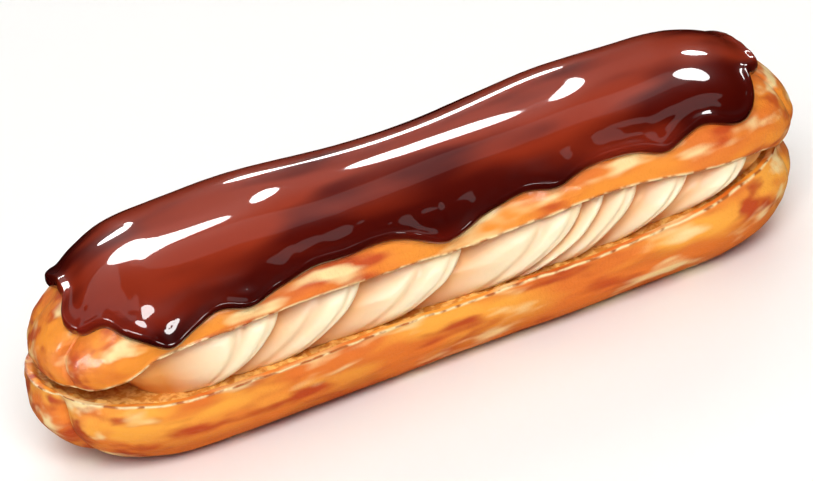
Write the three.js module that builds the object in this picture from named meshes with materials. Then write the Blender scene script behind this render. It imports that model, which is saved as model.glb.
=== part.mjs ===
// A chocolate eclair: a finger of choux pastry, split lengthwise, filled with piped cream and iced.
//
// Units are millimetres, +Z is up and X runs along the finger. The front long side faces -Y.
// The eclair lies on the flat underside of its base half, and the origin is in the middle of
// that underside. Every piece is built the same way: rings of points that follow the finger's
// outline in plan shrink to a spine along X at the top and at the bottom, which closes the solid.

import * as THREE from "three";

// ---------------------------------------------------------------- driving dimensions

const LENGTH = 150; // of the lid
const BASE_LEFT = -77.3; // the lid sits a little to the right on the base
const BASE_RIGHT = 73.8;
const HALF_WIDTH = 18.2;
const END_REACH = 26; // length over which each end of the finger rounds off
const END_SQUARENESS = 2.2; // exponent of the rounded ends in plan, 2 being an ellipse

const BASE_SQUARENESS = 2.6;
const SOLE_SINK = 1.0; // how much of the round underside baking on a tray has flattened
const CROWN_HEIGHT = 38.8; // from the table to the lid's crown, without icing
const LID_HEIGHT = 14; // how much of that is the lid, along the straight part
const LID_SQUARENESS = 2.3;
const TOUCH = 0.4; // clearance kept between neighbouring pieces

// Heights of the two cut rims along the finger. The knife cut waves a little, and the halves
// come together at the tips, where the lid sinks onto the base.
const CUT_RIMS = [
  { x: -75, base: 18.8, lid: 19.4 },
  { x: -68.5, base: 17.0, lid: 19.4 },
  { x: -62.5, base: 16.0, lid: 21.2 },
  { x: -57, base: 15.3, lid: 24.5 },
  { x: -48, base: 14.7, lid: 25.7 },
  { x: -25, base: 14.7, lid: 26.3 },
  { x: 5, base: 14.0, lid: 24.9 },
  { x: 30, base: 14.3, lid: 26.1 },
  { x: 46, base: 15.5, lid: 24.2 },
  { x: 60, base: 17.2, lid: 22.0 },
  { x: 68, base: 18.0, lid: 20.0 },
  { x: 75, base: 18.3, lid: 18.7 },
];

const RIM_WIDTH = 0.1; // width of the crust's rim on a cut face, as a share of the half width
const CRUMB_START = 0.16; // where the crumb has sunk to its full depth, as the same share
const CRUMB_DEPTH = 1.0; // how far the soft crumb lies below the crust's rim
// How far the crust curls in at the seam of each tip, and the height over which it curls.
const BASE_TUCK = { left: 1.2, right: 2.8, reach: 4.0 };
const LID_TUCK = { left: 1.4, right: 1.6, reach: 2.4 };
const BASE_LIFT = { left: 3.2, right: 0.6 }; // how much rounder the underside is at each tip

const ICING_THICKNESS = 2.0;
const ICING_TIP_THINNING = 0.3; // the share by which the coat is thinner over the tips
const ICING_CLEARANCE = 0.55; // between the crust and the icing's underside
const ICING_EDGE_ROUNDING = 1.7; // length over which the icing's edge rounds off
const ICING_BEAD = 0.45; // extra thickness of the bead where the icing stopped running
const ICING_BEAD_WIDTH = 1.3;
const FURROW_FILLED = 4; // this far from its edge the icing has nearly filled the furrows
const FURROW_LEFT = 0.15; // the share of a furrow's depth that still shows there
const ICING_SWELL_START = 7; // this far from its edge the coat has swollen to the full

const FOLD_DEPTH = 5.4; // how far the cream's folds stand out from its core
const FOLD_NOSE = 3.4; // length of a fold's rounded leading edge
const FOLD_SINKING = 1.7; // exponent of how a fold sinks behind its leading edge
const FOLD_SLANT = 1.6; // exponent of how its edge trails back towards the base
// Exponents of the cream's side between the two halves: full under the lid, drawn in at its foot.
const CREAM_BELLY = { upper: 3.0, lower: 1.3 };
const CREAM_INSET = 0.8; // the fullest folds stop this far inside the crust's outline

// Slow swells along the finger: each is a smooth bump centred on x.
const WIDTH_SWELLS = [
  { x: 1, spread: 25, amount: -1.9 },
  { x: 46, spread: 22, amount: -0.7 },
];
const CROWN_SWELLS = [
  { x: -73, spread: 15, amount: -3.0 },
  { x: 0, spread: 24, amount: -1.0 },
  { x: 74, spread: 9, amount: -1.5 },
];
const ICING_SWELLS = [
  { x: -30, spread: 11, amount: 0.45 },
  { x: 34, spread: 11, amount: 0.4 },
];
const BOW = 1.3; // the finger is bent by this much in plan

// Furrows between the lobes of dough at each tip: plan angle from the tip, towards the front
// when negative, with depth and spread. They fade towards the cut.
const BASE_FURROWS = {
  left: [
    { angle: -27, spread: 7, depth: 1.8 },
    { angle: 12, spread: 7, depth: 0.5 },
    { angle: 45, spread: 8, depth: 1.2 },
  ],
  right: [
    { angle: -30, spread: 8, depth: 0.5 },
    { angle: 18, spread: 7, depth: 0.9 },
    { angle: 54, spread: 8, depth: 1.1 },
  ],
};
const LID_FURROWS = {
  left: [
    { angle: -34, spread: 8, depth: 1.4 },
    { angle: 9, spread: 7, depth: 0.6 },
    { angle: 45, spread: 8, depth: 0.7 },
  ],
  right: [
    { angle: -27, spread: 8, depth: 0.8 },
    { angle: 18, spread: 7, depth: 0.6 },
    { angle: 54, spread: 8, depth: 0.6 },
  ],
};
const FURROW_FADE = 2.5; // the height over which they grow from the cut
const FURROW_AT_CUT = 0.25; // the share of their depth that shows at the cut

// The icing's edge: an angle up the lid's side, how much higher it runs around the tips, by plan
// angle, and the drips that run below it.
const ICING_EDGE = 24;
const ICING_EDGE_MIN = 2.5;
const ICING_TIPS = {
  left: [
    { angle: 8, spread: 36, rise: 24 },
    { angle: -6, spread: 10, rise: 3 },
    { angle: -48, spread: 12, rise: 11 },
  ],
  right: [
    { angle: 0, spread: 44, rise: 23 },
    { angle: -40, spread: 12, rise: 9.5 },
    { angle: 40, spread: 14, rise: 5 },
  ],
};
const FRONT_DRIPS = [
  { x: -54.6, spread: 4.6, drop: 21 },
  { x: -48.5, spread: 3.5, drop: 7.5 },
  { x: -39, spread: 6, drop: 13.5 },
  { x: -31, spread: 4, drop: 3.5 },
  { x: -20, spread: 6, drop: 2 },
  { x: -0.5, spread: 7, drop: 17 },
  { x: 10, spread: 4, drop: 3 },
  { x: 22, spread: 4.5, drop: 7 },
  { x: 42.5, spread: 4.2, drop: 7.5 },
  { x: 52, spread: 4, drop: -4.2 },
  { x: 59.5, spread: 4.5, drop: 4 },
];
const BACK_DRIPS = [
  { x: -61, spread: 5, drop: 9 },
  { x: -40, spread: 6, drop: 12 },
  { x: -19, spread: 5, drop: 5 },
  { x: -3, spread: 6, drop: 9 },
  { x: 24, spread: 7, drop: 13 },
  { x: 41, spread: 4, drop: 6 },
  { x: 59, spread: 6, drop: 14 },
];

// The cream's folds: where each one's leading edge meets the lid, and how far the same edge
// trails behind at the base. The back's are listed as they are seen from the back.
const FRONT_FOLDS = [
  { edge: -32, trail: 15 },
  { edge: -16, trail: 15 },
  { edge: 4, trail: 15 },
  { edge: 28, trail: 17 },
  { edge: 32, trail: 16 },
  { edge: 38.5, trail: 12 },
  { edge: 49, trail: 13 },
  { edge: 58, trail: 10 },
];
const BACK_FOLDS = [
  { edge: -41, trail: 13 },
  { edge: -27, trail: 14 },
  { edge: -13, trail: 13 },
  { edge: 8, trail: 16 },
  { edge: 18, trail: 13 },
  { edge: 32, trail: 15 },
  { edge: 41, trail: 12 },
  { edge: 55, trail: 8 },
];
const START_TRAIL = -3; // the first fold's back leans the other way
const CREAM_LEFT = -61;
const CREAM_RIGHT = 64;
const CREAM_END_REACH = 6;
const CREAM_END_SLACK = 6; // how much thinner the cream gets where the halves close on it

// How finely the outlines are divided, along a side and around an end.
const CRUST_STEPS = { side: 20, end: 20, skin: 9 };
const ICING_STEPS = { side: 40, end: 20 };
const CREAM_END_STEPS = 6;

// ---------------------------------------------------------------- small helpers

const radians = (degrees) => (degrees * Math.PI) / 180;
const bump = (distance, spread) => Math.exp(-((distance / spread) ** 2));
const clamp01 = (value) => Math.min(1, Math.max(0, value));
const mix = (a, b, share) => a + (b - a) * share;
const signedPower = (value, power) => Math.sign(value) * Math.abs(value) ** power;
const evenly = (steps) => Array.from({ length: steps + 1 }, (_, i) => i / steps);
const swell = (swells, x) =>
  swells.reduce((sum, s) => sum + s.amount * bump(x - s.x, s.spread), 0);

// ---------------------------------------------------------------- the finger's plan and heights

const halfWidth = (x) => HALF_WIDTH + swell(WIDTH_SWELLS, x);
const bow = (x) => BOW * ((2 * x) / LENGTH) ** 2;
const crown = (x) => CROWN_HEIGHT + swell(CROWN_SWELLS, x);

// A smooth curve through the heights of one cut rim.
function rimHeight(which, x) {
  const knots = CUT_RIMS;
  const last = knots.length - 1;
  const slope = (i) => {
    const before = knots[Math.max(0, i - 1)];
    const after = knots[Math.min(last, i + 1)];
    return (after[which] - before[which]) / (after.x - before.x);
  };
  const at = Math.min(Math.max(x, knots[0].x), knots[last].x);
  const i = Math.max(0, knots.findLastIndex((knot, k) => k < last && knot.x <= at));
  const width = knots[i + 1].x - knots[i].x;
  const t = (at - knots[i].x) / width;
  const rise = t * t * (3 - 2 * t);
  return (
    mix(knots[i][which], knots[i + 1][which], rise) +
    width * (slope(i) * t * (1 - t) ** 2 - slope(i + 1) * t * t * (1 - t))
  );
}

const baseRim = (x) => rimHeight("base", x);
const lidRim = (x) => rimHeight("lid", x);

// 0 at either tip and 1 along the straight part.
function openness(x) {
  const share = clamp01((LENGTH / 2 - Math.abs(x)) / END_REACH);
  return Math.sin((share * Math.PI) / 2);
}

// One point of a plan outline: the spine point that it fans out from, where it is on the outline
// (y as a share of the half width), its outward direction, and its angle from the tip.
function sidePoint(x, isBack) {
  const y = isBack ? 1 : -1;
  return { spineX: x, x, y, outX: 0, outY: y, angle: y * 90, isBack };
}

function endPoint(left, right, reach, angle, isRight) {
  const toTip = isRight ? 1 : -1;
  const cos = Math.cos(radians(angle));
  const sin = Math.sin(radians(angle));
  const spineX = isRight ? right - reach : left + reach;
  const power = 2 / END_SQUARENESS;
  const out = new THREE.Vector2(
    (toTip * cos ** (2 - power)) / reach,
    signedPower(sin, 2 - power) / HALF_WIDTH,
  ).normalize();
  return {
    spineX,
    x: spineX + toTip * reach * cos ** power,
    y: signedPower(sin, power),
    outX: out.x,
    outY: out.y,
    angle,
    isBack: angle > 0,
  };
}

// The outline's points, anticlockwise seen from above: front, right end, back, left end.
function outline(left, right, reach, sideSteps, endSteps) {
  const side = evenly(sideSteps).map((share) => mix(left + reach, right - reach, share));
  const ends = evenly(endSteps).slice(1, -1).map((share) => mix(-90, 90, share));
  return [
    ...side.map((x) => sidePoint(x, false)),
    ...ends.map((angle) => endPoint(left, right, reach, angle, true)),
    ...side.map((x) => sidePoint(x, true)).reverse(),
    ...ends.map((angle) => endPoint(left, right, reach, angle, false)).reverse(),
  ];
}

// The point that lies a share of the way from the spine to the outline.
function planPoint(point, share, z) {
  const x = mix(point.spineX, point.x, share);
  return new THREE.Vector3(x, point.y * share * halfWidth(x) + bow(x), z);
}

// How far the furrows at a tip pull the crust in, at an outline point and a height from the cut.
function furrow(point, height, furrows) {
  const rows = point.x < 0 ? furrows.left : furrows.right;
  const depth = rows.reduce((sum, f) => sum + f.depth * bump(point.angle - f.angle, f.spread), 0);
  return depth * (1 - (1 - FURROW_AT_CUT) * bump(height, FURROW_FADE));
}

// ---------------------------------------------------------------- solids from rings

// Joins rings of equally many points into a closed solid. The first and the last ring lie on
// the spine, so their front and back halves coincide and close it like a zip.
function ringSolid(rings) {
  const indexOf = new Map();
  const positions = [];
  const vertex = (p) => {
    const key = [p.x, p.y, p.z].map((value) => value.toFixed(4)).join();
    if (!indexOf.has(key)) {
      indexOf.set(key, positions.length / 3);
      positions.push(p.x, p.y, p.z);
    }
    return indexOf.get(key);
  };
  const ids = rings.map((ring) => ring.map(vertex));
  const triangles = [];
  const addTriangle = (a, b, c) => {
    if (a !== b && b !== c && c !== a) triangles.push(a, b, c);
  };
  for (let j = 0; j + 1 < ids.length; j++) {
    const inner = ids[j];
    const outer = ids[j + 1];
    for (let k = 0; k < inner.length; k++) {
      const next = (k + 1) % inner.length;
      addTriangle(inner[k], outer[k], outer[next]);
      addTriangle(inner[k], outer[next], inner[next]);
    }
  }
  const geometry = new THREE.BufferGeometry();
  geometry.setAttribute("position", new THREE.Float32BufferAttribute(positions, 3));
  geometry.setIndex(triangles);
  geometry.computeVertexNormals();
  return geometry;
}

// A superellipse quarter: how far out and how far up the skin is at an angle up its side.
const reachAt = (angle, squareness) => Math.max(0, Math.cos(angle)) ** (2 / squareness);
const riseAt = (angle, squareness) => Math.sin(angle) ** (2 / squareness);

// ---------------------------------------------------------------- choux pastry

// The crust's lip curls in where the halves meet at the tips, and is sharp along the sides.
function lipTuck(point, height, tuck) {
  const full = point.x < 0 ? tuck.left : tuck.right;
  return full * Math.sqrt(1 - openness(point.x)) * bump(height, tuck.reach);
}

// A point of the lid's crust, at an angle up its side, with a share of its furrows.
function lidSkin(point, angle, furrowShare = 1) {
  const rim = lidRim(point.x);
  const share = reachAt(angle, LID_SQUARENESS);
  const x = mix(point.spineX, point.x, share);
  const height = (crown(x) - rim) * riseAt(angle, LID_SQUARENESS);
  const p = planPoint(point, share, rim + height);
  const furrowed = furrow(point, height, LID_FURROWS) * share ** 2 * furrowShare;
  const inwards = (furrowed + lipTuck(point, height, LID_TUCK)) * share;
  p.x -= point.outX * inwards;
  p.y -= point.outY * inwards;
  return p;
}

// The crust's outward direction on the lid, from the superellipse's slope.
function lidOutward(point, angle) {
  const power = 2 - 2 / LID_SQUARENESS;
  const out = Math.max(0, Math.cos(angle)) ** power / HALF_WIDTH;
  const up = Math.sin(angle) ** power / LID_HEIGHT;
  return new THREE.Vector3(point.outX * out, point.outY * out, up).normalize();
}

// A point of the base's crust. The sole is flat, so the skin stops where it meets the table.
function baseSkin(point, share) {
  const rim = baseRim(point.x);
  const soleRise = rim / (rim + SOLE_SINK);
  const soleAngle = Math.asin(soleRise ** (BASE_SQUARENESS / 2));
  const angle = share * soleAngle;
  const depth = (rim + SOLE_SINK) * riseAt(angle, BASE_SQUARENESS);
  const reach = reachAt(angle, BASE_SQUARENESS);
  const p = planPoint(point, reach, share === 1 ? 0 : rim - depth);
  const furrowed = furrow(point, depth, BASE_FURROWS) * reach;
  const full = point.x < 0 ? BASE_LIFT.left : BASE_LIFT.right;
  const lift = full * (1 - openness(point.x)) ** 0.7 * (depth / rim) ** 2;
  const inwards = (furrowed + lift + lipTuck(point, depth, BASE_TUCK)) * reach;
  p.x -= point.outX * inwards;
  p.y -= point.outY * inwards;
  return p;
}

// The rings of a cut face, from the crust's rim in to the spine. The crumb lies deeper than the
// crust: above it on the lid's underside and below it on the base's top.
function cutFace(points, isLid) {
  const rim = isLid ? lidRim : baseRim;
  const furrows = isLid ? LID_FURROWS : BASE_FURROWS;
  const tuck = isLid ? LID_TUCK : BASE_TUCK;
  const into = isLid ? 1 : -1;
  const ring = (share, depth) =>
    points.map((point) => {
      const p = planPoint(point, share, 0);
      const inwards = (furrow(point, 0, furrows) + lipTuck(point, 0, tuck)) * share;
      p.x -= point.outX * inwards;
      p.y -= point.outY * inwards;
      p.z = rim(p.x) + into * depth;
      return p;
    });
  return [
    ring(1 - RIM_WIDTH, 0),
    ring(1 - CRUMB_START, CRUMB_DEPTH),
    ring(0.45, CRUMB_DEPTH),
    ring(0, CRUMB_DEPTH),
  ];
}

function fingerOutline(steps, left = -LENGTH / 2, right = LENGTH / 2) {
  return outline(left, right, END_REACH, steps.side, steps.end);
}

function lidGeometry() {
  const points = fingerOutline(CRUST_STEPS);
  const skin = evenly(CRUST_STEPS.skin).map((share) =>
    points.map((point) => lidSkin(point, radians(90 * (1 - share)))),
  );
  return ringSolid([...skin, ...cutFace(points, true)]);
}

function baseGeometry() {
  const points = fingerOutline(CRUST_STEPS, BASE_LEFT, BASE_RIGHT);
  const skin = evenly(CRUST_STEPS.skin).map((share) =>
    points.map((point) => baseSkin(point, share)),
  );
  const sole = points.map((point) => planPoint(point, 0, 0));
  return ringSolid([...cutFace(points, false).reverse(), ...skin, sole]);
}

// ---------------------------------------------------------------- chocolate icing

// The angle up the lid's side at which the icing stops.
function icingEdge(point) {
  const drips = point.isBack ? BACK_DRIPS : FRONT_DRIPS;
  const tip = point.x < 0 ? ICING_TIPS.left : ICING_TIPS.right;
  const rise = tip.reduce((sum, t) => sum + t.rise * bump(point.angle - t.angle, t.spread), 0);
  const drop = drips.reduce((sum, d) => sum + d.drop * bump(point.x - d.x, d.spread), 0);
  return ICING_EDGE + rise - drop;
}

// The icing's thickness at x and a distance from its edge: a rounded bead, then a coat that
// swells a little in two places and is thinner over the tips.
function icingThickness(x, distance) {
  const nose = clamp01(distance / ICING_EDGE_ROUNDING);
  const bead = ICING_BEAD * bump(distance - ICING_EDGE_ROUNDING, ICING_BEAD_WIDTH) * nose;
  const coat = ICING_THICKNESS * (1 - ICING_TIP_THINNING * (1 - openness(x)));
  const swelling = swell(ICING_SWELLS, x) * clamp01(distance / ICING_SWELL_START);
  return coat * Math.sqrt(1 - (1 - nose) ** 2) + bead + swelling;
}

function icingGeometry() {
  const points = fingerOutline(ICING_STEPS);
  const edges = points.map((point) => Math.max(ICING_EDGE_MIN, icingEdge(point)));
  const layer = (share, lift) =>
    points.map((point, k) => {
      const angle = radians(mix(90, edges[k], share));
      const fromEdge = lidSkin(point, angle).distanceTo(lidSkin(point, radians(edges[k])));
      const filled = lift * clamp01(fromEdge / FURROW_FILLED);
      const p = lidSkin(point, angle, 1 - (1 - FURROW_LEFT) * filled);
      const lifted = ICING_CLEARANCE + lift * icingThickness(p.x, fromEdge);
      return p.addScaledVector(lidOutward(point, angle), lifted);
    });
  const coat = [0, 0.25, 0.48, 0.68, 0.84]; // shares of the way from the crown to the edge
  const bead = [0.93, 0.975];
  const outer = [...coat, ...bead].map((share) => layer(share, 1));
  const inner = coat.map((share) => layer(share, 0)).reverse();
  return ringSolid([...outer, layer(1, 0), ...inner]);
}

// ---------------------------------------------------------------- piped cream

// The columns of points along one side of the cream, eight to a fold. A fold is fullest at its
// rounded leading edge, which overlaps the next fold, and sinks behind it until it disappears
// under the one before. Relief says how far a column stands out, from 0 to 1.
function foldColumns(folds, from) {
  let start = { edge: from, trail: START_TRAIL };
  const columns = [{ x: start.edge, trail: start.trail, relief: 0 }];
  for (const fold of folds) {
    const nose = Math.min(0.5, FOLD_NOSE / (fold.edge - start.edge));
    for (const t of [0.12, 0.27, 0.48, 0.72, 1].map((share) => share * (1 - nose))) {
      const sinking = 1 - t / (1 - nose);
      columns.push({ t, relief: 1 - sinking ** FOLD_SINKING });
    }
    for (const share of [0.5, 0.15, 0])
      columns.push({ t: 1 - share * nose, relief: Math.sqrt(1 - (1 - share) ** 2) });
    for (const column of columns.slice(-8)) {
      column.x = mix(start.edge, fold.edge, column.t);
      column.trail = mix(start.trail, fold.trail, column.t);
    }
    start = fold;
  }
  return columns;
}

// How wide the finger is at x, as a share of its half width, where its ends round off.
function girth(x) {
  const share = Math.max(0, Math.abs(x) - LENGTH / 2 + END_REACH) / END_REACH;
  return (1 - share ** END_SQUARENESS) ** (1 / END_SQUARENESS);
}

function creamOutline() {
  const frontFolds = foldColumns(FRONT_FOLDS, CREAM_LEFT + CREAM_END_REACH);
  const backFolds = foldColumns(BACK_FOLDS, -(CREAM_RIGHT - CREAM_END_REACH));
  const last = frontFolds.length - 1;
  const points = outline(CREAM_LEFT, CREAM_RIGHT, CREAM_END_REACH, last, CREAM_END_STEPS);
  for (const point of points)
    Object.assign(point, { trail: point.x < 0 ? START_TRAIL : -START_TRAIL, relief: 0 });
  frontFolds.forEach((column, i) => Object.assign(points[i], column));
  const backStart = points.findIndex((point) => point.isBack && point.outX === 0);
  backFolds.forEach((column, i) =>
    Object.assign(points[backStart + i], { ...column, x: -column.x, trail: -column.trail }),
  );
  return points;
}

function creamGeometry() {
  const points = creamOutline();
  const slack = (x) => TOUCH + CREAM_END_SLACK * (1 - openness(x));
  const underLid = (x) => lidRim(x) - slack(x);
  const overBase = (x) => baseRim(x) + slack(x);
  const fill = (x) => CRUMB_DEPTH * openness(x) ** 6; // the cream reaches into the hollow crumb
  const coreShare = 1 - (FOLD_DEPTH + CREAM_INSET) / HALF_WIDTH;
  const column = (point, share, height) => {
    const x = point.x - point.trail * (1 - height) ** FOLD_SLANT;
    return planPoint({ ...point, x, y: point.y * girth(x) }, share, 0);
  };
  const face = (share, height) =>
    points.map((point) => {
      const p = column(point, share, height);
      p.z = height === 1 ? underLid(p.x) + fill(p.x) : overBase(p.x) - fill(p.x);
      return p;
    });
  const side = (height) =>
    points.map((point) => {
      const p = column(point, coreShare, height);
      const squareness = height < 0.5 ? CREAM_BELLY.lower : CREAM_BELLY.upper;
      const belly = Math.sqrt(1 - Math.abs(2 * height - 1) ** squareness);
      p.y += point.outY * FOLD_DEPTH * belly * point.relief;
      p.z = mix(overBase(p.x), underLid(p.x), height);
      return p;
    });
  const heights = [1, 0.97, 0.85, 0.5, 0.22, 0.06, 0];
  const faceShare = coreShare - 0.02;
  return ringSolid([
    face(0, 1),
    face(faceShare, 1),
    ...heights.map(side),
    face(faceShare, 0),
    face(0, 0),
  ]);
}

// ---------------------------------------------------------------- the eclair

const crust = () =>
  new THREE.MeshStandardMaterial({ color: 0xe39a4c, roughness: 0.62, metalness: 0 });
const cream = () =>
  new THREE.MeshStandardMaterial({ color: 0xfbe2bc, roughness: 0.45, metalness: 0 });
const chocolate = () =>
  new THREE.MeshStandardMaterial({ color: 0x5c1e14, roughness: 0.12, metalness: 0 });

function piece(name, geometry, material) {
  const mesh = new THREE.Mesh(geometry, material);
  mesh.name = name;
  return mesh;
}

const eclair = new THREE.Group();
eclair.add(
  piece("choux_base", baseGeometry(), crust()),
  piece("cream_filling", creamGeometry(), cream()),
  piece("choux_lid", lidGeometry(), crust()),
  piece("chocolate_icing", icingGeometry(), chocolate()),
);

// The bow, the swells and the icing leave the pieces a little off centre.
const extent = new THREE.Box3().setFromObject(eclair);
const middle = extent.getCenter(new THREE.Vector3());
eclair.position.set(-middle.x, -middle.y, -extent.min.z);

export default eclair;
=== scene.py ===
"""A chocolate eclair: a split finger of choux pastry, filled with piped cream and iced.

Sizes are in millimetres unless a name says otherwise. X runs along the finger, Z is up, and the
front long side faces -Y.
"""

from types import SimpleNamespace

import bmesh
import bpy
import numpy as np
from mathutils import Matrix, Vector


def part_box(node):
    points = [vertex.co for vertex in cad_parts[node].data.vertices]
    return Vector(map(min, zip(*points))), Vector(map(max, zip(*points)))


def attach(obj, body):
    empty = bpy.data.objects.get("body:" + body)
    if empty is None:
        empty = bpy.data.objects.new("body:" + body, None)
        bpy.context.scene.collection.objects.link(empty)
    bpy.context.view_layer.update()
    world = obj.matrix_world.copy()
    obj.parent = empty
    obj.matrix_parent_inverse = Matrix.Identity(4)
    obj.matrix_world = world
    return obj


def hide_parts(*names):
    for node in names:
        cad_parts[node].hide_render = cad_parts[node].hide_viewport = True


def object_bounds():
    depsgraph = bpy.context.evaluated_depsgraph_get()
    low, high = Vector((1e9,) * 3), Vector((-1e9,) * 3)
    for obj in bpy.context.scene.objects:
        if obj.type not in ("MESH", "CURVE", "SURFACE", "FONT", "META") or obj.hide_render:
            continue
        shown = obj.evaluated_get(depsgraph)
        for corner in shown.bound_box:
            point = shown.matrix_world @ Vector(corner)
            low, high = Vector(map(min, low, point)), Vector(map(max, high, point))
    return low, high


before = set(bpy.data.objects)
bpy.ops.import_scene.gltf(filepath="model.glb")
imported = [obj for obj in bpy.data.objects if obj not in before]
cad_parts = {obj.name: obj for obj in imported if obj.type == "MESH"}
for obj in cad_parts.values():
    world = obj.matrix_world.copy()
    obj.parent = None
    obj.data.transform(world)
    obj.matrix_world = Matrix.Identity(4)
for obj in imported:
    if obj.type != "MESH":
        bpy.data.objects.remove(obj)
cad_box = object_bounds()


# ------------------------------------------------------------------ lower half of the pastry
# A finger of choux dough, piped, baked golden and split lengthwise with a serrated knife. The
# dough puffs up in the oven, so its crust is lumpy, wrinkled along its length and furrowed
# between the lobes at its tips. The tray has baked a flat sole onto it.

base_low, base_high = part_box("choux_base")
LENGTH = 150.0
HALF_WIDTH = 18.2
BASE_LEFT, BASE_RIGHT = -77.3, 73.8  # the lid sits a little to the right on it
END_REACH = 26.0  # length over which each end rounds off
END_SQUARENESS = 2.2  # exponent of the rounded ends in plan, 2 being an ellipse
BASE_SQUARENESS = 2.6
BASE_FLANK = 15  # height of the crust below the cut
SOLE_SINK = 1.0  # how much of the round underside has been baked flat
BOW = 1.3  # how much the finger bends in plan
WIDTH_SWELLS = [(1, 25, -1.9), (46, 22, -0.7)]  # centre, spread, amount

# Heights of the two cut rims along the finger.
RIM_KNOTS = np.array([-75, -68.5, -62.5, -57, -48, -25, 5, 30, 46, 60, 68, 75])
BASE_RIM = np.array([18.8, 17.0, 16.0, 15.3, 14.7, 14.7, 14.0, 14.3, 15.5, 17.2, 18.0, 18.3])
LID_RIM = np.array([19.4, 19.4, 21.2, 24.5, 25.7, 26.3, 24.9, 26.1, 24.2, 22.0, 20.0, 18.7])

# Furrows between the lobes of dough at each tip: angle in plan from the tip, spread, depth.
BASE_FURROWS = {
    "left": [(-27, 7, 1.3), (-27, 2.2, 1.1), (12, 6, 0.3), (12, 2, 0.3), (45, 7, 1), (45, 2, 0.6)],
    "right": [(-30, 7, 0.4), (-30, 2, 0.3), (18, 6, 0.7), (18, 2, 0.5), (54, 7, 0.9)],
}
FURROW_FADE = 2.5  # a furrow is shallow at the cut, and full about this far from it
FURROW_AT_CUT = 0.25  # the share of its depth that shows at the cut
TEAR_REACH = 1.5  # how far from the cut the knife has bent the crust

CRUST_RIM = 1.3  # width of the dense crust around a cut face
CRUMB_DEPTH = 1.1  # how far the soft crumb has sunk below it
CRUMB_SLOPE = 1.2  # over this distance from the crust
CUT_EDGE = 0.5  # how far from the cut's edge the knife has scraped the crust pale
BASE_TUCK = {"left": 1.2, "right": 2.8}  # how far the crust curls in at the seam of each tip
BASE_TUCK_REACH = 4.0
BASE_LIFT = {"left": 3.2, "right": 0.6}  # how much rounder the underside is at each tip
# Places of a cut face's rings between the spine and the rim: few in the middle, many outside.
CUT_SHARES = np.concatenate([np.linspace(0, 0.78, 7), np.linspace(0.8, 0.995, 26)])[:, None]
SIDE_STEPS, END_STEPS, SKIN_STEPS = 216, 150, 62


def bumps(x, rows):
    """Sum of smooth bumps: amount * exp(-((x - centre) / spread)^2) over the rows."""
    centre, spread, amount = np.array(rows, float).T
    return (amount * np.exp(-(((np.asarray(x)[..., None] - centre) / spread) ** 2))).sum(-1)


def ease(x):
    """0 below 0, 1 above 1 and 3x^2 - 2x^3 between them."""
    x = np.clip(x, 0, 1)
    return x * x * (3 - 2 * x)


def rim_height(x, heights):
    """A cubic through the rim's knots, its slope at each being that of the neighbours' chord."""
    order = np.arange(len(RIM_KNOTS))
    before, after = np.maximum(order - 1, 0), np.minimum(order + 1, len(RIM_KNOTS) - 1)
    slopes = (heights[after] - heights[before]) / (RIM_KNOTS[after] - RIM_KNOTS[before])
    x = np.clip(x, RIM_KNOTS[0], RIM_KNOTS[-1])
    i = np.clip(np.searchsorted(RIM_KNOTS, x, side="right") - 1, 0, len(RIM_KNOTS) - 2)
    width = RIM_KNOTS[i + 1] - RIM_KNOTS[i]
    t = (x - RIM_KNOTS[i]) / width
    chord = heights[i] + (heights[i + 1] - heights[i]) * ease(t)
    return chord + width * (slopes[i] * t * (1 - t) ** 2 - slopes[i + 1] * t * t * (1 - t))


def lumps(x, y, z, size, seed):
    """Smooth random heights from -1 to 1: random values on a cubic lattice, size apart, blended
    between the eight corners of each cell with the ease curve."""
    lattice = np.random.default_rng(seed).uniform(-1, 1, (32, 32, 32))
    spot = np.stack(np.broadcast_arrays(x, y, z)) / size + 1000
    cell = np.floor(spot).astype(int)
    near = ease(spot - cell)
    height = 0
    for a, b, c in np.ndindex(2, 2, 2):
        value = lattice[(cell[0] + a) % 32, (cell[1] + b) % 32, (cell[2] + c) % 32]
        share = np.abs(1 - a - near[0]) * np.abs(1 - b - near[1]) * np.abs(1 - c - near[2])
        height = height + value * share
    return height


def half_width(x):
    return HALF_WIDTH + bumps(x, WIDTH_SWELLS)


def bow(x):
    return BOW * (2 * x / LENGTH) ** 2


def closing(x):
    """0 along the straight part and 1 at either tip: 1 minus a quarter of a sine."""
    return 1 - np.sin(np.clip((LENGTH / 2 - np.abs(x)) / END_REACH, 0, 1) * np.pi / 2)


def plan_outline(left, right, reach, side_steps, end_steps):
    """The outline in plan, anticlockwise: two straight sides, and two superellipse ends whose
    points fan out from the ends of the spine. Each point has its foot on the spine, its place
    (y as a share of the half width), its outward direction and its angle from the tip."""
    side = np.linspace(left + reach, right - reach, side_steps + 1)
    one, none = np.ones_like(side), np.zeros_like(side)
    turn = np.linspace(-90, 90, end_steps + 1)[1:-1]
    cos, sin = np.cos(np.radians(turn)), np.sin(np.radians(turn))
    power = 2 / END_SQUARENESS
    ahead, wide = reach * cos**power, np.sign(sin) * np.abs(sin) ** power
    out_x = cos ** (2 - power) / reach
    out_y = np.sign(sin) * np.abs(sin) ** (2 - power) / HALF_WIDTH
    out_x, out_y = out_x / np.hypot(out_x, out_y), out_y / np.hypot(out_x, out_y)
    foot = np.ones_like(turn)
    front = [side, side, -one, none, -one, -90 * one]
    tip = [foot * (right - reach), right - reach + ahead, wide, out_x, out_y, turn]
    back = [side[::-1], side[::-1], one, none, one, 90 * one]
    tail = [foot * (left + reach), left + reach - ahead, wide, -out_x, out_y, turn]
    rows = np.concatenate([front, tip, back, np.array(tail)[:, ::-1]], axis=1)
    return SimpleNamespace(**dict(zip(("foot", "x", "y", "out_x", "out_y", "angle"), rows)))


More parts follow.
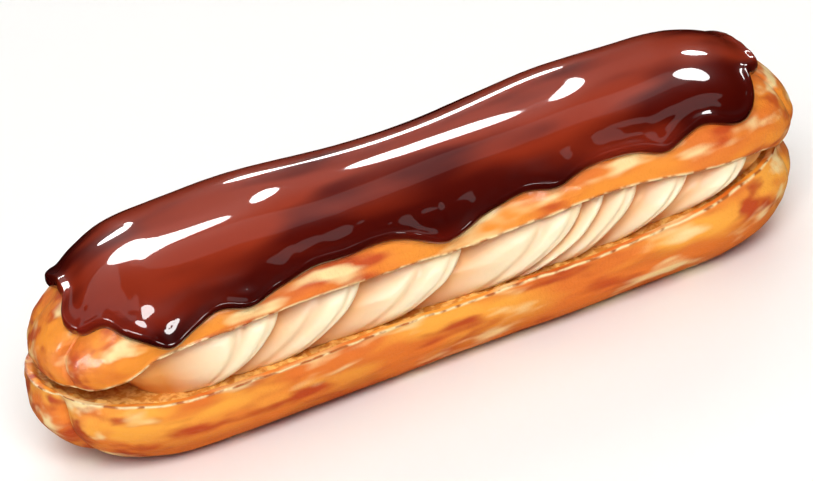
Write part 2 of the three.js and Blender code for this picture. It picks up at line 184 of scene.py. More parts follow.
def plan_place(outline, share, inward):
    """x and y of the points that lie share of the way from the spine to the outline, drawn in
    by inward along the outline's outward direction."""
    x = outline.foot + (outline.x - outline.foot) * share
    y = outline.y * share * half_width(x) + bow(x)
    return x - outline.out_x * inward, y - outline.out_y * inward


def furrows(outline, height, rows, lean=0):
    """Depth of the furrows at a height from the cut. Those on the left are moved by lean."""
    left, right = bumps(outline.angle - lean, rows["left"]), bumps(outline.angle, rows["right"])
    fade = 1 - (1 - FURROW_AT_CUT) * np.exp(-((height / FURROW_FADE) ** 2))
    return np.where(outline.x < 0, left, right) * fade


def lip_tuck(outline, height, tuck, reach):
    """The lip's curl: full at the seam of a tip, fading with height and along the finger."""
    share = np.sqrt(closing(outline.x)) * np.exp(-((height / reach) ** 2))
    return np.where(outline.x < 0, tuck["left"], tuck["right"]) * share


def knife_wobble(outline, seed):
    """The cut wanders up and down a little, and the knife's teeth have torn its edge."""
    x, y = plan_place(outline, 1, 0)
    return 0.3 * lumps(x, y, 0, 7, seed) + 0.16 * lumps(x, y, 0, 1.5, seed + 1)


def crust_relief(x, y, z, seed):
    """Height of the baked crust: broad swellings, wrinkles that run along the finger, and fine
    pebbles."""
    swellings = 0.5 * lumps(x * 0.6, y, z, 11, seed)
    wrinkles = 0.24 * lumps(x * 0.22, y, z, 2.8, seed + 1)
    return swellings + wrinkles + 0.08 * lumps(x * 0.6, y, z, 1.3, seed + 2)


def flank_direction(outline, angle, squareness, height):
    """Outward direction of a superellipse flank, from its slopes in plan and in height."""
    power = 2 - 2 / squareness
    out = np.cos(angle).clip(0) ** power / HALF_WIDTH
    up = np.sin(angle) ** power / height
    steep = np.hypot(out, up)
    return outline.out_x * out / steep, outline.out_y * out / steep, up / steep


def cut_face(outline, heights, drawn_in, wobble, seed):
    """Rings of a cut face, from the spine out: a level rim of crust, and inside it the crumb,
    which has sunk and is pocked by air bubbles. Returns x, y, the level of the cut, the depth
    into the pastry, and how much each point is crumb and how near it is to the edge."""
    inward = drawn_in * CUT_SHARES
    x, y = plan_place(outline, CUT_SHARES, inward)
    inside = (1 - CUT_SHARES) * np.hypot(outline.x - outline.foot, outline.y * HALF_WIDTH)
    sunk = ease((inside - CRUST_RIM) / CRUMB_SLOPE)
    pores = 0.4 * lumps(x, y, 0, 1.2, seed) + 0.4 * lumps(x, y, 0, 2.9, seed + 1)
    depth = sunk * (CRUMB_DEPTH + pores)
    level = rim_height(x, heights) + wobble * ease(CUT_SHARES * 4 - 3)
    return x, y, level, depth, sunk, np.exp(-inside / CUT_EDGE)


def base_rings(outline):
    """The lower half from the middle of its cut face, over the rim and down the crust to the
    sole. The crust is a superellipse flank: reach = cos^(2/n), depth = sin^(2/n)."""
    wobble = knife_wobble(outline, 11)
    drawn_in = furrows(outline, 0, BASE_FURROWS) + lip_tuck(outline, 0, BASE_TUCK, BASE_TUCK_REACH)
    x, y, level, depth, sunk, near = cut_face(outline, BASE_RIM, drawn_in, wobble, 21)
    face = np.stack([x, y, level - depth], -1)
    rim = rim_height(outline.x, BASE_RIM)
    sole_angle = np.arcsin((rim / (rim + SOLE_SINK)) ** (BASE_SQUARENESS / 2))
    angle = np.linspace(0, 1, SKIN_STEPS)[:, None] ** 1.2 * sole_angle
    reach = np.cos(angle) ** (2 / BASE_SQUARENESS)
    depth = (rim + SOLE_SINK) * np.sin(angle) ** (2 / BASE_SQUARENESS)
    inward = furrows(outline, depth, BASE_FURROWS) * reach
    inward = inward + lip_tuck(outline, depth, BASE_TUCK, BASE_TUCK_REACH)
    lift = np.where(outline.x < 0, BASE_LIFT["left"], BASE_LIFT["right"])
    inward = inward + lift * closing(outline.x) ** 0.7 * (depth / rim) ** 2
    x, y = plan_place(outline, reach, inward * reach)
    z = rim - depth + wobble * np.exp(-depth / TEAR_REACH)
    relief = crust_relief(x, y, z, 31) * ease(z / 4) * ease(depth / 0.8)
    away = flank_direction(outline, angle, BASE_SQUARENESS, BASE_FLANK)
    skin = np.stack([x + away[0] * relief, y + away[1] * relief, z - away[2] * relief], -1)
    skin[-1, :, 2] = 0
    sole_x, sole_y = plan_place(outline, np.array([[0.35], [0.2], [0.0]]), 0)
    sole = np.stack([sole_x, sole_y, 0 * sole_x], -1)
    near_skin = np.exp(-depth / CUT_EDGE)
    marks = {
        "crumb": np.concatenate([sunk, 0 * near_skin, 0 * sole_x]),
        "cut": np.concatenate([near, near_skin, 0 * sole_x]),
    }
    return np.concatenate([face, skin, sole]), marks


def solid(name, rings, marks):
    """A closed mesh from rings of points. Each ring is joined to the next, and the first and
    last, which lie on the spine, are zipped up by merging their front and back halves."""
    count, around = rings.shape[:2]
    index = np.arange(count * around).reshape(count, around)
    beside = np.roll(index, -1, axis=1)
    quads = np.stack([index[:-1], index[1:], beside[1:], beside[:-1]], -1).reshape(-1, 4)
    mesh = bpy.data.meshes.new(name)
    mesh.from_pydata(((rings + shift) / 1000).reshape(-1, 3).tolist(), [], quads.tolist())
    for mark, values in marks.items():
        mesh.attributes.new(mark, "FLOAT", "POINT").data.foreach_set("value", values.ravel())
    zipped = bmesh.new()
    zipped.from_mesh(mesh)
    bmesh.ops.remove_doubles(zipped, verts=zipped.verts, dist=1e-6)
    zipped.to_mesh(mesh)
    zipped.free()
    mesh.shade_smooth()
    piece = bpy.data.objects.new(name, mesh)
    bpy.context.scene.collection.objects.link(piece)
    return piece


def linear(colour):
    """An sRGB hex colour as linear RGBA."""
    share = np.array([int(colour[i : i + 2], 16) for i in (1, 3, 5)]) / 255
    value = np.where(share <= 0.04045, share / 12.92, ((share + 0.055) / 1.055) ** 2.4)
    return (*value.tolist(), 1.0)


def node(tree, kind, sockets, **settings):
    """Adds a node with its settings. A socket is given a value, or another node's output."""
    made = tree.nodes.new(kind)
    for key, value in settings.items():
        setattr(made, key, value)
    for key, value in sockets.items():
        if isinstance(value, bpy.types.NodeSocket):
            tree.links.new(value, made.inputs[key])
        else:
            made.inputs[key].default_value = value
    return made


def baked_choux(name, golden, toast_and_shade, dark_z, light_z):
    """Choux crust: egg, butter and flour baked to a thin dry shell. It browns in long soft
    patches and stays pale where it cracked open late. Its colour also runs darker towards dark_z:
    on the lid this is painted shade beneath the icing's edge, and on the base it is darker towards
    the bottom. The surface has a faint greasy gloss, fine wrinkles and pits."""
    material = bpy.data.materials.new(name)
    material.use_nodes = True
    tree = material.node_tree
    shader = tree.nodes["Principled BSDF"]
    place = node(tree, "ShaderNodeTexCoord", {}).outputs["Object"]
    round_mm = node(tree, "ShaderNodeMapping", {"Vector": place, "Scale": (1000, 1000, 1000)})
    long_mm = node(tree, "ShaderNodeMapping", {"Vector": place, "Scale": (300, 1000, 1000)})
    height = node(tree, "ShaderNodeSeparateXYZ", {"Vector": place}).outputs["Z"]

    def patches(mapping, size, low, high, **sockets):
        cloud = node(
            tree,
            "ShaderNodeTexNoise",
            {"Vector": mapping.outputs[0], "Scale": 1 / size, "Detail": 2, **sockets},
            noise_dimensions="4D",
        )
        shares = {"Value": cloud.outputs[0], "From Min": low, "From Max": high}
        return node(tree, "ShaderNodeMapRange", shares, interpolation_type="SMOOTHSTEP").outputs[0]

    def blend(share, under, over):
        sockets = {0: share, 6: under, 7: over}
        return node(tree, "ShaderNodeMix", sockets, data_type="RGBA").outputs[2]

    # The crust is darker towards dark_z. On the lid this is painted shade beneath the icing's edge,
    # and on the base it is darker towards the bottom.
    height_darkening = node(
        tree,
        "ShaderNodeMapRange",
        {"Value": height, "From Min": dark_z / 1000, "From Max": light_z / 1000},
        interpolation_type="SMOOTHSTEP",
    ).outputs[0]
    crust = blend(height_darkening, linear(toast_and_shade), linear(golden))
    crust = blend(patches(long_mm, 7, 0.42, 0.62), crust, linear("#ea7a26"))
    crust = blend(patches(long_mm, 4.5, 0.49, 0.66), crust, linear(toast_and_shade))
    crust = blend(patches(long_mm, 4, 0.52, 0.7, W=3), crust, linear("#ffde9e"))
    cut = node(tree, "ShaderNodeAttribute", {}, attribute_name="cut").outputs["Fac"]
    scraped = {"Value": cut, "From Min": 0.3, "From Max": 0.75}
    edge = node(tree, "ShaderNodeMapRange", scraped).outputs[0]
    dashes = blend(patches(round_mm, 2.8, 0.4, 0.56), linear("#b85f22"), linear("#fbe0a8"))
    crust = blend(edge, crust, dashes)
    crumb = node(tree, "ShaderNodeAttribute", {}, attribute_name="crumb").outputs["Fac"]
    inside = blend(patches(round_mm, 1.4, 0.4, 0.6), linear("#dc8f38"), linear("#fbc670"))
    tree.links.new(blend(crumb, crust, inside), shader.inputs["Base Color"])

    pits = {"Vector": round_mm.outputs[0], "Scale": 1 / 0.6, "Detail": 4}
    creases = {"Vector": long_mm.outputs[0], "Scale": 1 / 1.1, "Detail": 3}
    pits, creases = (node(tree, "ShaderNodeTexNoise", sockets) for sockets in (pits, creases))
    heights = {0: pits.outputs[0], 1: creases.outputs[0]}
    rough = node(tree, "ShaderNodeMath", heights, operation="ADD")
    bump = {"Height": rough.outputs[0], "Strength": 0.5, "Distance": 0.0003}
    tree.links.new(node(tree, "ShaderNodeBump", bump).outputs[0], shader.inputs["Normal"])
    shader.inputs["Roughness"].default_value = 0.5
    shader.inputs["Specular IOR Level"].default_value = 0.25
    shader.inputs["Coat Weight"].default_value = 0.3
    shader.inputs["Coat Roughness"].default_value = 0.16
    shader.inputs["Subsurface Weight"].default_value = 0.08
    shader.inputs["Subsurface Radius"].default_value = (1.0, 0.5, 0.2)
    shader.inputs["Subsurface Scale"].default_value = 0.002
    return material


rings, marks = base_rings(plan_outline(BASE_LEFT, BASE_RIGHT, END_REACH, SIDE_STEPS, END_STEPS))
# The shift that puts the lower half where the frame has it. It moves all the pieces alike.
middle = (rings.min((0, 1)) + rings.max((0, 1))) / 2
shift = np.array([500 * (base_low.x + base_high.x), 500 * (base_low.y + base_high.y), 0])
shift -= middle * (1, 1, 0)
lower_half = solid("pastry_lower_half", rings, marks)
# The lower half's crust runs darker from 12 mm down to the sole.
lower_half.data.materials.append(baked_choux("baked_choux_lower", "#ffac3c", "#c4480e", 0, 12))
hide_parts("choux_base")
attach(lower_half, "root")


# ------------------------------------------------------------------ piped cream
# Thick vanilla cream, piped between the halves from a star nozzle moved back and forth, so it
# shows at the sides as folds that lean forward. Each fold's leading edge laps over the next
# fold's back, and the nozzle's teeth have left ridges that follow the edge.

# Where each fold's leading edge meets the lid, and how far it trails behind at the base. The
# back's are listed as they are seen from the back.
FRONT_FOLDS = [(-32, 15), (-16, 15), (4, 15), (28, 17), (32, 16), (38.5, 12), (49, 13), (61, 10)]
BACK_FOLDS = [(-41, 13), (-27, 14), (-13, 13), (8, 16), (18, 13), (32, 15), (41, 12), (57.5, 8)]
CREAM_LEFT, CREAM_RIGHT, CREAM_END_REACH = -63.5, 67.0, 6.0
START_TRAIL = -3  # the first fold's back leans the other way
FOLD_DEPTH = 5.4  # how far the folds stand out from the core
FOLD_NOSE = 3.0  # length of a fold's rounded leading edge
CREAM_INSET = 0.5  # the fullest folds stop this far inside the crust's outline
CREAM_SINKS = 0.2  # into the crumb below
CREAM_RISES = 0.9  # into the crumb above
GROOVES = [(2.8, 0.7, 0.5), (8.5, 1.4, 0.5)]  # behind the edge, spread, depth
COLUMNS_PER_FOLD = 46


def fold_columns(folds, start):
    """Columns of points along one side. In a fold, t runs from 0 at its back to 1 at its edge;
    its relief is 1 - sinking^1.7 behind the nose and a quarter circle on it. The grooves that
    the nozzle's teeth leave are soft dips, so far behind the edge."""
    columns = [np.array([[start], [START_TRAIL], [0], [0]])]
    before = (start, START_TRAIL)
    for edge, trail in folds:
        length = edge - before[0]
        nose = min(0.5, FOLD_NOSE / length)
        t = np.linspace(0, 1, COLUMNS_PER_FOLD + 1)[1:]
        t = t + 0.12 * np.sin(2 * np.pi * t) / np.pi  # closer together at the edges
        sinking = np.clip(1 - t / (1 - nose), 0, 1)
        rounding = np.clip((1 - t) / nose, 0, 1)
        relief = (1 - sinking**1.7) * np.sqrt(1 - (1 - rounding) ** 2)
        groove = bumps((1 - t) * length, GROOVES) * ease(t * length / 3)
        x = before[0] + length * t
        columns.append([x, before[1] + (trail - before[1]) * t, relief, groove])
        before = (edge, trail)
    return np.concatenate(columns, axis=1)


def girth(x):
    """The superellipse end again: how wide the finger is at x, as a share of its half width."""
    share = np.clip(np.abs(x) - LENGTH / 2 + END_REACH, 0, END_REACH) / END_REACH
    return (1 - share**END_SQUARENESS) ** (1 / END_SQUARENESS)


def cream_rings():
    """The cream from the middle of its top, down its folded side and back to the middle of its
    underside. The side's swelling is belly * relief, where belly = sqrt(1 - s * |2h - 1|^n). The
    upper half is full, and the lower one draws in to a narrow foot on the base."""
    steps = COLUMNS_PER_FOLD * len(FRONT_FOLDS)
    outline = plan_outline(CREAM_LEFT, CREAM_RIGHT, CREAM_END_REACH, steps, 26)
    front = fold_columns(FRONT_FOLDS, CREAM_LEFT + CREAM_END_REACH)
    back = fold_columns(BACK_FOLDS, CREAM_END_REACH - CREAM_RIGHT)
    back[:2] *= -1
    columns = np.zeros((4, len(outline.x)))
    columns[0] = outline.x
    columns[1] = np.where(outline.x < 0, START_TRAIL, -START_TRAIL)
    columns[:, : steps + 1] = front
    first = np.argmax((outline.angle == 90) & (outline.out_x == 0))
    columns[:, first : first + steps + 1] = back
    at, trail, relief, groove = columns
    core = 1 - (FOLD_DEPTH + CREAM_INSET) / HALF_WIDTH

    def ring(share, height):
        lean = at - trail * (1 - height) ** 1.6
        x = outline.foot + (lean - outline.foot) * np.minimum(1, 2 * share)
        y = outline.y * girth(x) * share * half_width(x) + bow(x)
        low = rim_height(x, BASE_RIM) - CRUMB_DEPTH - CREAM_SINKS
        high = rim_height(x, LID_RIM) + CREAM_RISES
        return x, y, low + (high - low) * height

    height = 0.5 + 0.5 * np.cos(np.linspace(0, np.pi, 64))[:, None]
    x, y, z = ring(core, height)
    lower = height < 0.5
    squeeze, squareness = np.where(lower, 0.97, 1), np.where(lower, 1.3, 3.0)
    belly = np.sqrt(1 - squeeze * np.abs(2 * height - 1) ** squareness)
    floor = 0.42 * (1 - (2 * height - 1) ** 2)
    out = FOLD_DEPTH * belly * (floor + (1 - floor) * relief)
    out = out - groove * belly + 0.3 * belly * lumps(x, y, z, 6, 41)
    out = out * np.abs(outline.y) ** 2
    side = np.stack([x + outline.out_x * out, y + outline.out_y * out, z], -1)
    top = np.stack(ring(np.array([[0.0], [0.3], [core - 0.01]]), 1), -1)
    bottom = np.stack(ring(np.array([[core - 0.01], [0.3], [0.0]]), 0), -1)
    # Painted shade: the cream is painted a deeper tan at the back of each fold, where it sinks
    # under the one before, and in the grooves. The hidden top and underside take the full painted
    # shade.
    fold_shade = np.clip(0.95 * (1 - relief) ** 1.2 + 0.5 * groove, 0, 1) * np.ones_like(height)
    flat = np.ones((3, len(at)))
    return np.concatenate([top, side, bottom]), {"fold_shade": np.concatenate([flat, fold_shade, flat])}


def piped_cream():
    """Pastry cream lightened with whipped cream: a soft fat emulsion. Light goes a few
    millimetres into it, and it is moist and smooth. Its hollows are painted a deeper tan as
    painted shade."""
    material = bpy.data.materials.new("vanilla_cream")
    material.use_nodes = True
    tree = material.node_tree
    shader = tree.nodes["Principled BSDF"]
    place = node(tree, "ShaderNodeTexCoord", {}).outputs["Object"]
    fold_shade = node(tree, "ShaderNodeAttribute", {}, attribute_name="fold_shade").outputs["Fac"]
    # Painted shade: the hollows are tinted a deeper tan.
    colours = {0: fold_shade, 6: linear("#ffeecb"), 7: linear("#e99c48")}
    tint = node(tree, "ShaderNodeMix", colours, data_type="RGBA").outputs[2]
    tree.links.new(tint, shader.inputs["Base Color"])
    grain = node(tree, "ShaderNodeTexNoise", {"Vector": place, "Scale": 1000 / 1.2, "Detail": 3})
    bump = {"Height": grain.outputs[0], "Strength": 0.25, "Distance": 0.0002}
    tree.links.new(node(tree, "ShaderNodeBump", bump).outputs[0], shader.inputs["Normal"])
    shader.inputs["Roughness"].default_value = 0.3
    shader.inputs["Subsurface Weight"].default_value = 0.25
    shader.inputs["Subsurface Radius"].default_value = (1.0, 0.6, 0.35)
    shader.inputs["Subsurface Scale"].default_value = 0.003
    return material


rings, marks = cream_rings()
cream = solid("piped_cream", rings, marks)
cream.data.materials.append(piped_cream())
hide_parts("cream_filling")
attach(cream, "root")


# ------------------------------------------------------------------ lid of the pastry
# The upper half of the same baked finger, set back on top of the cream. Its left tip bulges
# into a round nose that hangs over the cut face below.

CROWN_HEIGHT = 38.8  # from the table to the lid's crown, without icing
LID_SQUARENESS = 2.3
LID_FLANK = 14  # height of the crust above the cut
CROWN_SWELLS = [(-73, 15, -3.0), (0, 24, -1.0), (74, 9, -1.5)]  # centre, spread, amount
LID_FURROWS = {
    "left": [(-33, 7, 0.9), (-33, 2, 0.9), (9, 6, 0.4), (9, 2, 0.3), (45, 7, 0.5), (45, 2, 0.3)],
    "right": [(-27, 7, 0.5), (-27, 2, 0.5), (18, 6, 0.4), (18, 2, 0.3), (54, 7, 0.5)],
}
LID_TUCK = {"left": 1.4, "right": 1.6}
LID_TUCK_REACH = 2.4
NOSE_BULGE = 0.9  # how far the round nose stands out
NOSE_WIDENS = 8  # degrees that the furrows beside it are pushed around the tip


def lid_skin(outline, angle, crease=1.0):
    """The lid's smooth skin at an angle up its flank, its outward direction and its height
    above the rim. Like the base, it is a superellipse flank."""
    rim = rim_height(outline.x, LID_RIM)
    reach = np.cos(angle).clip(0) ** (2 / LID_SQUARENESS)
    over = outline.foot + (outline.x - outline.foot) * reach
    crown = CROWN_HEIGHT + bumps(over, CROWN_SWELLS)
    height = (crown - rim) * np.sin(angle) ** (2 / LID_SQUARENESS)
    tuck = lip_tuck(outline, height, LID_TUCK, LID_TUCK_REACH)
    around = np.exp(-(((height - 5) / 4) ** 2))
    nose = around * np.exp(-(((outline.angle + 60) / 20) ** 2)) * (outline.x < 0)
    creases = furrows(outline, height, LID_FURROWS, NOSE_WIDENS * around) * crease
    inward = creases * reach**2 + tuck - NOSE_BULGE * nose
    x, y = plan_place(outline, reach, inward * reach)
    away = flank_direction(outline, angle, LID_SQUARENESS, LID_FLANK)
    return np.stack([x, y, rim + height], -1), np.stack(np.broadcast_arrays(*away), -1), height


def lid_rings(outline):
    """The lid from its crown down the crust to the rim, and in over the cut underside."""
    wobble = knife_wobble(outline, 13)
    angle = np.radians(90 * (1 - np.linspace(0, 1, SKIN_STEPS)[:, None]) ** 1.3)
    skin, away, height = lid_skin(outline, angle)
    relief = crust_relief(*np.moveaxis(skin, -1, 0), 51) * ease(height / 0.8)
    skin = skin + away * relief[..., None]
    skin[..., 2] += wobble * np.exp(-height / TEAR_REACH)
    drawn_in = furrows(outline, 0, LID_FURROWS) + lip_tuck(outline, 0, LID_TUCK, LID_TUCK_REACH)
    x, y, level, depth, sunk, near = cut_face(outline, LID_RIM, drawn_in, wobble, 61)
    face = np.stack([x, y, level + depth], -1)[::-1]
    near_skin = np.exp(-height / CUT_EDGE)
    marks = {
        "crumb": np.concatenate([0 * near_skin, sunk[::-1]]),
        "cut": np.concatenate([near_skin, near[::-1]]),
    }
    return np.concatenate([skin, face]), marks


rings, marks = lid_rings(plan_outline(-LENGTH / 2, LENGTH / 2, END_REACH, SIDE_STEPS, END_STEPS))
lid = solid("pastry_lid", rings, marks)
# The lid's crust is painted darker from 30 mm up to 42 mm: painted shade beneath the icing's edge.
lid.data.materials.append(baked_choux("baked_choux_lid", "#f8962b", "#cb4d10", 42, 30))
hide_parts("choux_lid")
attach(lid, "root")


# ------------------------------------------------------------------ chocolate icing
# Warm chocolate icing, poured or dipped, that ran down the lid's sides and set while it was
# still wet looking. Where it stopped it has a rolled bead for an edge, with longer drips.

ICING_THICKNESS = 2.0
ICING_SWELLS = [(-30, 11, 0.45), (34, 11, 0.4)]  # centre, spread, amount
ICING_TIP_THINNING = 0.3  # the share by which it is thinner over the tips
CREASES_LEFT = 0.15  # the share of the pastry's furrows that still shows through the icing
ICING_ROUNDING = 1.3  # length over which the edge rounds off
ICING_EDGE = 24  # angle up the lid's flank along the sides
ICING_EDGE_MIN = 1.5
ICING_SIDE_STEPS, ICING_RINGS = 232, 92
# How much higher it runs around the tips: angle in plan from the tip, spread, degrees.
ICING_TIPS = {
    "left": [(8, 36, 24), (-6, 10, 3), (-48, 12, 11)],
    "right": [(0, 44, 23), (-40, 12, 9.5), (40, 14, 5)],
}
# Drips: centre along the finger, spread, how many degrees lower the edge runs.
FRONT_DRIPS = [(-54.6, 4.6, 21), (-48.5, 3.5, 7.5), (-39, 6, 13.5), (-31, 4, 3.5), (-20, 6, 2)]
FRONT_DRIPS += [(-0.5, 7, 17), (10, 4, 3), (22, 4.5, 7), (42.5, 4.2, 7.5), (52, 4, -4.2)]
FRONT_DRIPS += [(59.5, 4.5, 4)]
BACK_DRIPS = [(-61, 5, 9), (-40, 6, 12), (-19, 5, 5), (-3, 6, 9), (24, 7, 14), (41, 4, 6)]
BACK_DRIPS += [(59, 6, 14)]


def icing_rings(outline):
    """The icing from its crown down to the bead at its edge, and back up its underside. Its
    thickness is a quarter circle at the edge, a raised bead, a dip behind it, then an even coat
    that sags gently."""
    front, back = bumps(outline.x, FRONT_DRIPS), bumps(outline.x, BACK_DRIPS)
    left, right = (bumps(outline.angle, ICING_TIPS[tip]) for tip in ("left", "right"))
    ragged = 0.8 * lumps(outline.x, outline.y * HALF_WIDTH, 0, 5, 71)
    edge = ICING_EDGE + np.where(outline.x < 0, left, right) + ragged
    edge = np.maximum(edge - np.where(outline.angle > 0, back, front), ICING_EDGE_MIN)
    step = np.linspace(0, 1, ICING_RINGS)[:, None]
    angle = np.radians(90 - (90 - edge) * (1 - (1 - step) ** 1.9))
    skin, away, height = lid_skin(outline, angle)
    # The distance from the edge, measured down the skin and then squarely to the edge's slope.
    run = np.linalg.norm(np.diff(skin, axis=0), axis=-1)
    from_edge = np.concatenate([np.cumsum(run[::-1], axis=0)[::-1], np.zeros((1, len(edge)))])
    foot = skin[-1]
    along = np.linalg.norm((np.roll(foot, -1, 0) - np.roll(foot, 1, 0))[:, :2], axis=-1)
    slope = (np.roll(foot, -1, 0) - np.roll(foot, 1, 0))[:, 2] / np.maximum(along, 1e-6)
    from_edge = from_edge / np.sqrt(1 + slope**2)
    nose = np.clip(from_edge / ICING_ROUNDING, 0, 1)
    x, y, z = np.moveaxis(skin, -1, 0)
    thick = ICING_THICKNESS * (1 - ICING_TIP_THINNING * closing(x)) * np.sqrt(1 - (1 - nose) ** 2)
    thick += nose * 0.4 * np.exp(-(((from_edge - 1.3) / 0.8) ** 2))
    thick -= 0.15 * np.exp(-(((from_edge - 3.6) / 1.4) ** 2))
    sag = 0.3 * lumps(x * 0.5, y, z, 13, 81) + bumps(x, ICING_SWELLS)
    thick += nose * ease(from_edge / 7) * sag
    relief = crust_relief(x, y, z, 51) * ease(height / 0.8) * np.exp(-((from_edge / 5) ** 2))
    smooth = lid_skin(outline, angle, CREASES_LEFT)[0] - skin
    outer = skin + away * (thick + relief)[..., None]
    outer = outer + smooth * ease((from_edge + 0.6) / 1.8)[..., None]
    inner = skin - away * (0.5 * (1 - np.exp(-from_edge)) - relief)[..., None]
    few = np.r_[ICING_RINGS - 2 : 0 : -9, 0]  # the hidden underside needs few rings
    return np.concatenate([outer, inner[few]]), {}


def chocolate_icing():
    """Dark chocolate melted with cream and glucose: a dense brown-red coat that set to a mirror
    gloss. Its colour drifts at random between darker and redder streaks, and it is painted lighter
    and redder towards the crown and darker lower down its sides: painted light and shade."""
    material = bpy.data.materials.new("dark_chocolate_icing")
    material.use_nodes = True
    tree = material.node_tree
    shader = tree.nodes["Principled BSDF"]
    place = node(tree, "ShaderNodeTexCoord", {}).outputs["Object"]
    long_mm = node(tree, "ShaderNodeMapping", {"Vector": place, "Scale": (250, 750, 750)})
    cloud = {"Vector": long_mm.outputs[0], "Scale": 1 / 10, "Detail": 2}
    flow = node(tree, "ShaderNodeTexNoise", cloud).outputs[0]
    height = node(tree, "ShaderNodeSeparateXYZ", {"Vector": place}).outputs["Z"]
    # Painted light and shade, not the coat's thickness: the share called thin rises with height
    # from 30 to 41 mm. It lightens the crown and leaves the lower sides darker.
    rise = {"Value": height, "From Min": 0.03, "From Max": 0.041}
    thin = node(tree, "ShaderNodeMapRange", rise).outputs[0]
    lean = {0: thin, 1: 0.16, 2: flow}
    share = node(tree, "ShaderNodeMath", lean, operation="MULTIPLY_ADD").outputs[0]
    shares = {"Value": share, "From Min": 0.49, "From Max": 0.67}
    streaks = node(tree, "ShaderNodeMapRange", shares, interpolation_type="SMOOTHSTEP").outputs[0]

    def blend(share, under, over):
        sockets = {0: share, 6: under, 7: over}
        return node(tree, "ShaderNodeMix", sockets, data_type="RGBA").outputs[2]

    # Painted light and shade: both streak tones run from darker low on the sides to lighter and
    # redder at the crown.
    dark_streaks_shaded = blend(thin, linear("#310302"), linear("#5c1006"))
    spread = blend(thin, linear("#6c150a"), linear("#9c3419"))
    tint = blend(streaks, dark_streaks_shaded, spread)
    tree.links.new(tint, shader.inputs["Base Color"])
    shader.inputs["Roughness"].default_value = 0.3
    shader.inputs["Specular IOR Level"].default_value = 0.04
    shader.inputs["Coat Weight"].default_value = 1.0
    shader.inputs["Coat Roughness"].default_value = 0.025
    return material


icing_outline = plan_outline(-LENGTH / 2, LENGTH / 2, END_REACH, ICING_SIDE_STEPS, END_STEPS)
rings, marks = icing_rings(icing_outline)
icing = solid("chocolate_icing_coat", rings, marks)
icing.data.materials.append(chocolate_icing())
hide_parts("chocolate_icing")
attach(icing, "root")


# ------------------------------------------------------------------ table, light and camera
# A plain pale table under three soft boxes, and small catch lights far away that draw the
# highlights on the wet icing. The camera stands at the front left and looks down.

TABLE_SIZE = 3.0  # metres
bpy.ops.mesh.primitive_plane_add(size=TABLE_SIZE)
table = bpy.context.object
table.name = "table_top"
# White paint with a faint warm tone, matt, so that it mirrors nothing.
paper = bpy.data.materials.new("white_table")
paper.use_nodes = True
paper.node_tree.nodes["Principled BSDF"].inputs["Base Color"].default_value = linear("#fbfaf8")
paper.node_tree.nodes["Principled BSDF"].inputs["Roughness"].default_value = 0.8
table.data.materials.append(paper)
table.visible_glossy = False

world = bpy.data.worlds.new("soft_room")
world.use_nodes = True
world.node_tree.nodes["Background"].inputs["Color"].default_value = linear("#fdfaf5")
world.node_tree.nodes["Background"].inputs["Strength"].default_value = 0.2
world.cycles_visibility.glossy = False
bpy.context.scene.world = world

middle_of_box = (cad_box[0] + cad_box[1]) / 2


def lamp_at(name, shape, place, size, power):
    """A light of a given width and height that faces the middle of the eclair, in metres."""
    lamp = bpy.data.lights.new(name, "AREA")
    lamp.shape = shape
    lamp.size, lamp.size_y = size
    lamp.energy = power
    box = bpy.data.objects.new(name, lamp)
    bpy.context.scene.collection.objects.link(box)
    box.location = place
    box.rotation_mode = "QUATERNION"
    box.rotation_quaternion = (place - middle_of_box).to_track_quat("Z", "Y")
    box.visible_camera = False
    return box


# The soft boxes light the food. The icing doesn't mirror them.
for name, place, size, power in [
    ("key", (-0.2, -0.66, 0.8), (0.6, 0.5), 9),
    ("overhead", (-0.15, 0.1, 0.9), (0.8, 0.5), 1.6),
    ("fill", (0.4, 0.8, 0.5), (0.8, 0.6), 3.5),
]:
    lamp_at(name, "RECTANGLE", Vector(place), size, power).visible_glossy = False

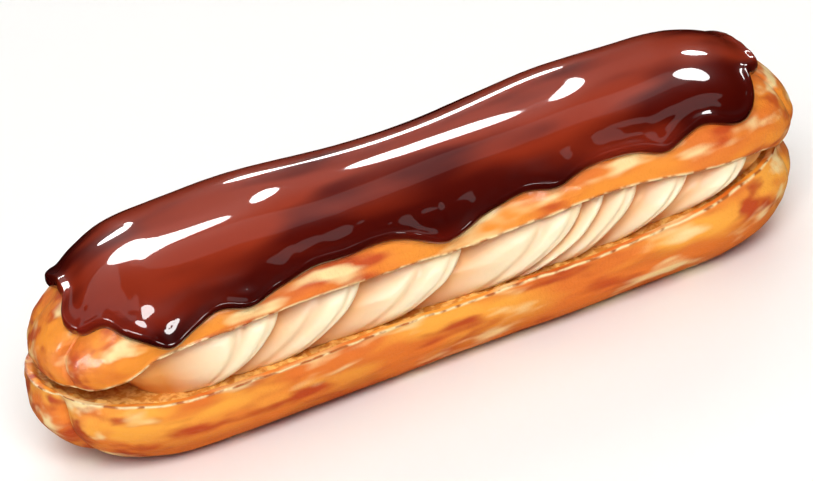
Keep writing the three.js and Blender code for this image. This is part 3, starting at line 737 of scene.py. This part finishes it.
# The catch lights are only seen in the icing and the crust. Compass angle from +Y towards +X,
# angle up, half width and half height in degrees, brightness.
CATCH_LIGHTS = {
    "wedge": (20, 35, 1.4, 5, 20),
    "left_patch": (-1.5, 47.5, 13, 9, 20),
    "left_thin": (0.5, 24, 6, 3, 20),
    "back_line": (16.5, 15, 2.2, 2.5, 20),
    "right_patch": (67, 55, 12, 5.5, 22),
    "right_thin": (40.5, 33, 5.5, 3, 22),
    "drip": (-122, 50, 11, 8, 18),
    "nose": (-103, 11, 8, 7, 30),
    "cream": (178, 9, 11, 5, 20),
    "dim_front": (137, 43, 13, 9, 0.7),
    "dim_left": (-60, 52, 30, 9, 0.6),
    "dim_above": (30, 66, 25, 12, 0.4),
}
REACH = 3.0  # metres
for name, (compass, rise, wide, tall, brightness) in CATCH_LIGHTS.items():
    compass, rise = np.radians([compass, rise])
    towards = Vector((np.sin(compass) * np.cos(rise), np.cos(compass) * np.cos(rise), np.sin(rise)))
    size = 2 * REACH * np.tan(np.radians([wide, tall]))
    power = brightness * np.pi * np.pi / 4 * size[0] * size[1]  # an ellipse's area times pi
    lamp_at(name, "ELLIPSE", middle_of_box + towards * REACH, size, power).visible_diffuse = False

AZIMUTH, ELEVATION, ROLL = np.radians([-18.5, 30.0, 10.05])
LENS, SENSOR = 250.0, 36.0  # millimetres
VIEW_WIDTH = 0.1468  # metres across the picture, at the eclair
right = Vector((np.cos(AZIMUTH), np.sin(AZIMUTH), 0))
level_back = Vector((np.sin(AZIMUTH), -np.cos(AZIMUTH), 0))
back = level_back * np.cos(ELEVATION) + Vector((0, 0, np.sin(ELEVATION)))
up = back.cross(right)
rolled_right = right * np.cos(ROLL) - up * np.sin(ROLL)
rolled_up = right * np.sin(ROLL) + up * np.cos(ROLL)
camera = bpy.data.objects.new("camera", bpy.data.cameras.new("camera"))
bpy.context.scene.collection.objects.link(camera)
camera.data.lens, camera.data.sensor_width = LENS, SENSOR
aim = middle_of_box - rolled_right * 0.00117 - rolled_up * 0.00092
stand = aim + back * VIEW_WIDTH * LENS / SENSOR
turned = Matrix((rolled_right, rolled_up, back)).transposed()
camera.matrix_world = Matrix.Translation(stand) @ turned.to_4x4()
camera.data.clip_end = 10
bpy.context.scene.camera = camera
bpy.context.scene.view_settings.view_transform = "Standard"
